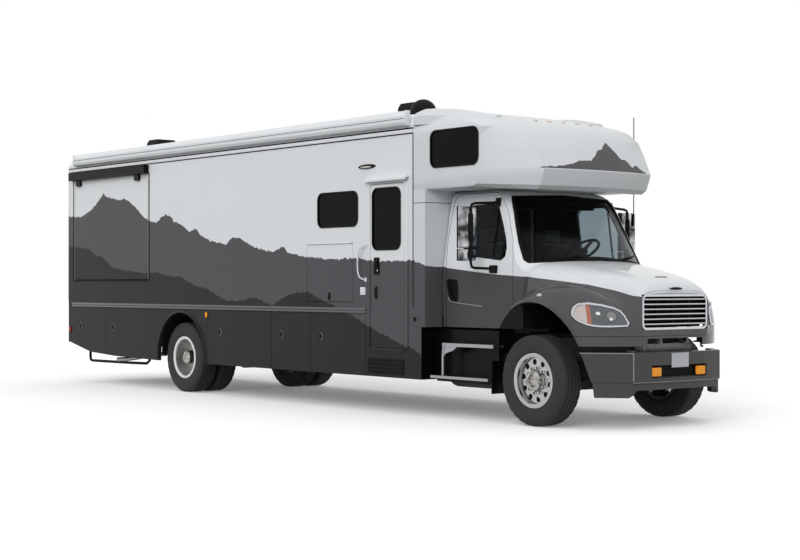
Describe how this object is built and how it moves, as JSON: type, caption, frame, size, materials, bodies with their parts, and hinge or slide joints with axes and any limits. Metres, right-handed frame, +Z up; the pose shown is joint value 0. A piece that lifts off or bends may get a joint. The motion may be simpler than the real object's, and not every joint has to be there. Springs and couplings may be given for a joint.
{
  "type": "motorhome",
  "caption": "Motorhome on a conventional truck chassis: bonneted cab under an overhanging front cap, long coach body with slide-out rooms, side entry door and skirt compartments.",
  "frame": {"origin": "on the ground, at the middle of the overall length and width", "axes": "X forward to the front bumper, Y to the vehicle's left, Z up"},
  "size_m": [11.96, 2.91, 3.96],
  "materials": {
    "body_white": "gloss",
    "body_grey": "satin",
    "black_steel": "satin",
    "fibreglass_white": "gloss",
    "tinted_glass": "tinted",
    "clear_glass": "clear",
    "bright_chrome": "polished",
    "polished_aluminium": "polished",
    "tyre_rubber": "matt",
    "black_plastic": "matt",
    "lamp_plastic": "clear",
    "seat_fabric": "woven",
    "engine_iron": "cast",
    "floor_board": "plain"
  },
  "bodies": {
    "coach": {"chassis_frame": "black_steel", "hitch_receiver": "black_steel", "front_axle": "black_steel", "rear_axle": "black_steel", "leaf_springs": "black_steel", "drive_shaft": "black_steel", "engine_block": "engine_iron", "fuel_tank": "black_steel", "coach_floor": "floor_board", "entry_steps": "floor_board", "side_wall_right": "fibreglass_white", "side_wall_left": "fibreglass_white", "rear_wall": "fibreglass_white", "roof": "fibreglass_white", "front_cap": "fibreglass_white", "coach_windows": "tinted_glass", "lower_skirts": "body_grey", "storage_bays": "black_steel", "roof_units": "black_plastic", "patio_awning": "body_white", "cab_shell": "body_white", "windshield": "clear_glass", "cab_seats": "seat_fabric", "dashboard": "black_plastic", "cab_steps": "polished_aluminium", "front_bumper": "body_grey"},
    "hood": {"hood": "body_grey", "grille": "bright_chrome", "headlamps": "lamp_plastic"},
    "door_right": {"cab_door_right": "body_white", "cab_door_glass_right": "clear_glass", "mirror_right": "black_plastic"},
    "door_left": {"cab_door_left": "body_white", "cab_door_glass_left": "clear_glass", "mirror_left": "black_plastic"},
    "knuckle_right": {"steering_knuckle_right": "black_steel"},
    "knuckle_left": {"steering_knuckle_left": "black_steel"},
    "wheel_front_right": {"front_tyre_right": "tyre_rubber", "front_wheel_right": "polished_aluminium"},
    "wheel_front_left": {"front_tyre_left": "tyre_rubber", "front_wheel_left": "polished_aluminium"},
    "wheels_rear_right": {"rear_tyres_right": "tyre_rubber", "rear_wheels_right": "polished_aluminium"},
    "wheels_rear_left": {"rear_tyres_left": "tyre_rubber", "rear_wheels_left": "polished_aluminium"},
    "entry": {"entry_door": "fibreglass_white", "entry_door_window": "tinted_glass"},
    "hatch": {"entertainment_hatch": "body_grey"},
    "room_right": {"slideout_right": "fibreglass_white"},
    "room_left": {"slideout_left": "fibreglass_white"},
    "bay_door_right_1": {"baggage_door_right_1": "body_grey"},
    "bay_door_right_2": {"baggage_door_right_2": "body_grey"},
    "bay_door_right_3": {"baggage_door_right_3": "body_grey"},
    "bay_door_right_4": {"baggage_door_right_4": "body_grey"},
    "bay_door_right_5": {"baggage_door_right_5": "body_grey"},
    "bay_door_left_1": {"baggage_door_left_1": "body_grey"},
    "bay_door_left_2": {"baggage_door_left_2": "body_grey"},
    "bay_door_left_3": {"baggage_door_left_3": "body_grey"}
  },
  "joints": [
    {"name": "hood_tilt", "type": "hinge", "parent": "coach", "child": "hood", "pos_m": [5.9, 0, 0.885], "axis": [0, 1, 0], "range_deg": [0, 70]},
    {"name": "door_right_hinge", "type": "hinge", "parent": "coach", "child": "door_right", "pos_m": [4.39, -1.036, 1.5], "axis": [0, 0, 1], "range_deg": [0, 65]},
    {"name": "door_left_hinge", "type": "hinge", "parent": "coach", "child": "door_left", "pos_m": [4.39, 1.036, 1.5], "axis": [0, 0, -1], "range_deg": [0, 65]},
    {"name": "steer_right", "type": "hinge", "parent": "coach", "child": "knuckle_right", "pos_m": [4.85, -0.93, 0.508], "axis": [0, 0, 1], "range_deg": [-35, 35]},
    {"name": "steer_left", "type": "hinge", "parent": "coach", "child": "knuckle_left", "pos_m": [4.85, 0.93, 0.508], "axis": [0, 0, 1], "range_deg": [-35, 35]},
    {"name": "spin_front_right", "type": "hinge", "parent": "knuckle_right", "child": "wheel_front_right", "pos_m": [4.85, -1.03, 0.508], "axis": [0, 1, 0], "continuous": true},
    {"name": "spin_front_left", "type": "hinge", "parent": "knuckle_left", "child": "wheel_front_left", "pos_m": [4.85, 1.03, 0.508], "axis": [0, 1, 0], "continuous": true},
    {"name": "spin_rear_right", "type": "hinge", "parent": "coach", "child": "wheels_rear_right", "pos_m": [-2.45, -0.9125, 0.508], "axis": [0, 1, 0], "continuous": true},
    {"name": "spin_rear_left", "type": "hinge", "parent": "coach", "child": "wheels_rear_left", "pos_m": [-2.45, 0.9125, 0.508], "axis": [0, 1, 0], "continuous": true},
    {"name": "entry_hinge", "type": "hinge", "parent": "coach", "child": "entry", "pos_m": [2.748, -1.289, 1.8], "axis": [0, 0, 1], "range_deg": [0, 140]},
    {"name": "hatch_hinge", "type": "hinge", "parent": "coach", "child": "hatch", "pos_m": [1.23, -1.289, 2.094], "axis": [-1, 0, 0], "range_deg": [0, 90]},
    {"name": "room_right_slide", "type": "slide", "parent": "coach", "child": "room_right", "axis": [0, -1, 0], "range_m": [0, 0.7]},
    {"name": "room_left_slide", "type": "slide", "parent": "coach", "child": "room_left", "axis": [0, 1, 0], "range_m": [0, 0.7]},
    {"name": "bay_right_1_hinge", "type": "hinge", "parent": "coach", "child": "bay_door_right_1", "pos_m": [-5.285, -1.289, 1.211], "axis": [-1, 0, 0], "range_deg": [0, 100]},
    {"name": "bay_right_2_hinge", "type": "hinge", "parent": "coach", "child": "bay_door_right_2", "pos_m": [-3.895, -1.289, 1.211], "axis": [-1, 0, 0], "range_deg": [0, 100]},
    {"name": "bay_right_3_hinge", "type": "hinge", "parent": "coach", "child": "bay_door_right_3", "pos_m": [-0.889, -1.289, 1.211], "axis": [-1, 0, 0], "range_deg": [0, 100]},
    {"name": "bay_right_4_hinge", "type": "hinge", "parent": "coach", "child": "bay_door_right_4", "pos_m": [0.359, -1.289, 1.211], "axis": [-1, 0, 0], "range_deg": [0, 100]},
    {"name": "bay_right_5_hinge", "type": "hinge", "parent": "coach", "child": "bay_door_right_5", "pos_m": [1.398, -1.289, 1.211], "axis": [-1, 0, 0], "range_deg": [0, 100]},
    {"name": "bay_left_1_hinge", "type": "hinge", "parent": "coach", "child": "bay_door_left_1", "pos_m": [-4.5, 1.289, 1.211], "axis": [1, 0, 0], "range_deg": [0, 100]},
    {"name": "bay_left_2_hinge", "type": "hinge", "parent": "coach", "child": "bay_door_left_2", "pos_m": [-0.77, 1.289, 1.211], "axis": [1, 0, 0], "range_deg": [0, 100]},
    {"name": "bay_left_3_hinge", "type": "hinge", "parent": "coach", "child": "bay_door_left_3", "pos_m": [1.07, 1.289, 1.211], "axis": [1, 0, 0], "range_deg": [0, 100]}
  ],
  "couplings": [
    {"joint": "steer_left", "follows": "steer_right", "ratio": 1}
  ]
}
